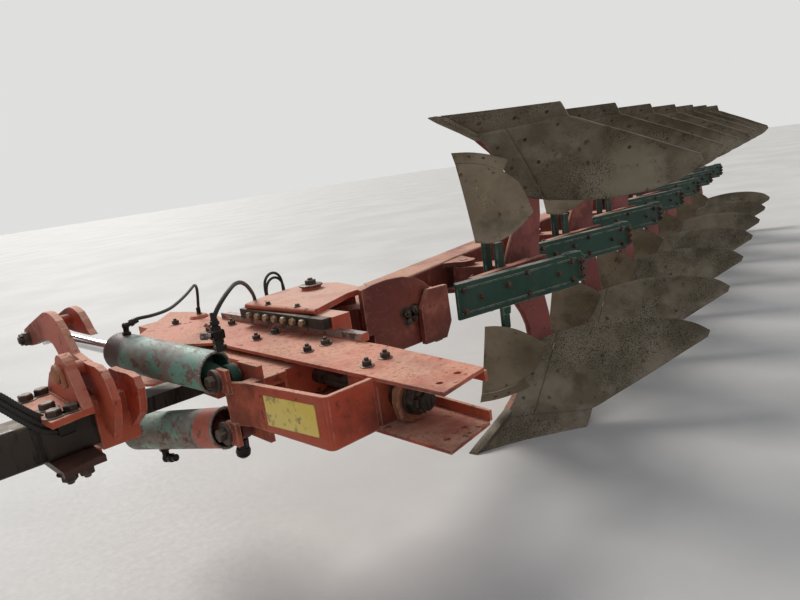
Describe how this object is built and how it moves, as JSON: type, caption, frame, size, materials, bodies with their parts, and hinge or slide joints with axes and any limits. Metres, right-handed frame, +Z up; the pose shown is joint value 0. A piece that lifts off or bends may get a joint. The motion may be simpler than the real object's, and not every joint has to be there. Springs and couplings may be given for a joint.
{
  "type": "reversible mouldboard plough",
  "caption": "Semi-mounted reversible plough with variable furrow width, a sliding cross frame and paired trip-leg bodies.",
  "frame": {"origin": "on the floor under the middle of the machine's outline", "axes": "+X towards the tractor, +Y to the side that both rows throw to, +Z up"},
  "size_m": [12.6051, 4.4002, 1.8],
  "materials": {
    "red_paint": "faded and dusty with rust at the edges",
    "green_paint": "worn satin paint",
    "teal_paint": "worn, with bare patches",
    "worn_steel": "soil-polished with rust film",
    "dark_steel": "oily and rusty",
    "rod_chrome": "chromed rod",
    "tyre_rubber": "dusty black rubber"
  },
  "bodies": {
    "headstock": {"headstock": "red_paint"},
    "stand": {"parking_stand": "dark_steel"},
    "swivel": {"swivel_housing": "red_paint"},
    "tube": {"front_tube": "dark_steel", "tube_clamps": "red_paint", "hook_plates": "red_paint", "shift_carriage": "red_paint"},
    "cross": {"cross_frame": "red_paint", "box_wall": "red_paint", "guide_shaft": "rod_chrome"},
    "upper_barrel": {"upper_barrel": "teal_paint"},
    "lower_barrel": {"lower_barrel": "teal_paint"},
    "upper_rod": {"upper_rod": "rod_chrome"},
    "lower_rod": {"lower_rod": "rod_chrome"},
    "slide_head": {"beam_slide": "red_paint", "clamp_bars": "dark_steel"},
    "beam": {"beam_head": "red_paint", "main_beam": "red_paint"},
    "link": {"link_bar": "red_paint"},
    "arm": {"wheel_arm": "red_paint"},
    "wheel": {"wheel_hub": "dark_steel", "wheel_rim": "red_paint", "wheel_tyre": "tyre_rubber"},
    "body_1": {"bracket_1": "green_paint", "legs_1": "red_paint", "mouldboards_1": "worn_steel", "shares_1": "worn_steel", "skimmers_1": "worn_steel"},
    "body_2": {"bracket_2": "green_paint", "legs_2": "red_paint", "mouldboards_2": "worn_steel", "shares_2": "worn_steel", "skimmers_2": "worn_steel"},
    "body_3": {"bracket_3": "green_paint", "legs_3": "red_paint", "mouldboards_3": "worn_steel", "shares_3": "worn_steel", "skimmers_3": "worn_steel"},
    "body_4": {"bracket_4": "green_paint", "legs_4": "red_paint", "mouldboards_4": "worn_steel", "shares_4": "worn_steel", "skimmers_4": "worn_steel"},
    "body_5": {"bracket_5": "green_paint", "legs_5": "red_paint", "mouldboards_5": "worn_steel", "shares_5": "worn_steel", "skimmers_5": "worn_steel"},
    "body_6": {"bracket_6": "green_paint", "legs_6": "red_paint", "mouldboards_6": "worn_steel", "shares_6": "worn_steel", "skimmers_6": "worn_steel"},
    "body_7": {"bracket_7": "green_paint", "legs_7": "red_paint", "mouldboards_7": "worn_steel", "shares_7": "worn_steel", "skimmers_7": "worn_steel"}
  },
  "joints": [
    {"name": "stand_slide", "type": "slide", "parent": "headstock", "child": "stand", "axis": [0, 0, 1], "range_m": [0, 0.35]},
    {"name": "swivel", "type": "hinge", "parent": "headstock", "child": "swivel", "pos_m": [5.82263, 1.09005, 0.9], "axis": [0, 0, 1], "range_deg": [-40, 40]},
    {"name": "turnover", "type": "hinge", "parent": "swivel", "child": "tube", "pos_m": [5.30763, 1.09005, 0.9], "axis": [1, 0, 0], "range_deg": [0, 180]},
    {"name": "side_shift", "type": "slide", "parent": "tube", "child": "cross", "axis": [0, 1, 0], "range_m": [-0.25, 0.05]},
    {"name": "upper_barrel_turn", "type": "hinge", "parent": "cross", "child": "upper_barrel", "pos_m": [3.94163, 1.43105, 0.991], "axis": [0.4085, 0, -0.9128], "range_deg": [-5.4, 1.3]},
    {"name": "lower_barrel_turn", "type": "hinge", "parent": "cross", "child": "lower_barrel", "pos_m": [3.94163, 1.43105, 0.809], "axis": [-0.4085, 0, -0.9128], "range_deg": [-5.4, 1.3]},
    {"name": "upper_rod_slide", "type": "slide", "parent": "upper_barrel", "child": "upper_rod", "axis": [0.2798, -0.9519, 0.1252], "range_m": [-0.24, 0.05]},
    {"name": "lower_rod_slide", "type": "slide", "parent": "lower_barrel", "child": "lower_rod", "axis": [0.2798, -0.9519, -0.1252], "range_m": [-0.24, 0.05]},
    {"name": "furrow_slide", "type": "slide", "parent": "cross", "child": "slide_head", "axis": [0, 1, 0], "range_m": [-0.1, 0.15]},
    {"name": "vario", "type": "hinge", "parent": "slide_head", "child": "beam", "pos_m": [3.21763, 0.90388, 0.9], "axis": [0, 0, 1], "range_deg": [0, 10.8]},
    {"name": "arm_flip", "type": "hinge", "parent": "beam", "child": "arm", "pos_m": [-5.45263, -1.59905, 0.9], "axis": [0, 1, 0], "range_deg": [0, 96.7]},
    {"name": "wheel_spin", "type": "hinge", "parent": "arm", "child": "wheel", "pos_m": [-5.85263, -2.05005, 0.45], "axis": [0, 1, 0], "continuous": true},
    {"name": "body_1_pivot", "type": "hinge", "parent": "beam", "child": "body_1", "pos_m": [2.02763, 0.77006, 0.9], "axis": [0, 0, 1], "range_deg": [-10.9, 0.1]},
    {"name": "body_2_pivot", "type": "hinge", "parent": "beam", "child": "body_2", "pos_m": [0.91892, 0.46467, 0.9], "axis": [0, 0, 1], "range_deg": [-10.9, 0.1]},
    {"name": "body_3_pivot", "type": "hinge", "parent": "beam", "child": "body_3", "pos_m": [-0.18979, 0.15928, 0.9], "axis": [0, 0, 1], "range_deg": [-10.9, 0.1]},
    {"name": "body_4_pivot", "type": "hinge", "parent": "beam", "child": "body_4", "pos_m": [-1.2985, -0.14611, 0.9], "axis": [0, 0, 1], "range_deg": [-10.9, 0.1]},
    {"name": "body_5_pivot", "type": "hinge", "parent": "beam", "child": "body_5", "pos_m": [-2.40721, -0.45149, 0.9], "axis": [0, 0, 1], "range_deg": [-10.9, 0.1]},
    {"name": "body_6_pivot", "type": "hinge", "parent": "beam", "child": "body_6", "pos_m": [-3.51592, -0.75688, 0.9], "axis": [0, 0, 1], "range_deg": [-10.9, 0.1]},
    {"name": "body_7_pivot", "type": "hinge", "parent": "beam", "child": "body_7", "pos_m": [-4.62463, -1.06227, 0.9], "axis": [0, 0, 1], "range_deg": [-10.9, 0.1]},
    {"name": "link_pivot", "type": "hinge", "parent": "body_1", "child": "link", "pos_m": [2.12763, 0.89006, 0.785], "axis": [0, 0, 1], "range_deg": [-0.1, 10.9]}
  ],
  "couplings": [
    {"joint": "upper_barrel_turn", "follows": "side_shift", "rad_per_m": 0.37},
    {"joint": "lower_barrel_turn", "follows": "side_shift", "rad_per_m": 0.37},
    {"joint": "upper_rod_slide", "follows": "side_shift", "ratio": 0.94},
    {"joint": "lower_rod_slide", "follows": "side_shift", "ratio": 0.94},
    {"joint": "body_1_pivot", "follows": "vario", "ratio": -1},
    {"joint": "body_2_pivot", "follows": "vario", "ratio": -1},
    {"joint": "body_3_pivot", "follows": "vario", "ratio": -1},
    {"joint": "body_4_pivot", "follows": "vario", "ratio": -1},
    {"joint": "body_5_pivot", "follows": "vario", "ratio": -1},
    {"joint": "body_6_pivot", "follows": "vario", "ratio": -1},
    {"joint": "body_7_pivot", "follows": "vario", "ratio": -1},
    {"joint": "link_pivot", "follows": "vario", "ratio": 1}
  ]
}
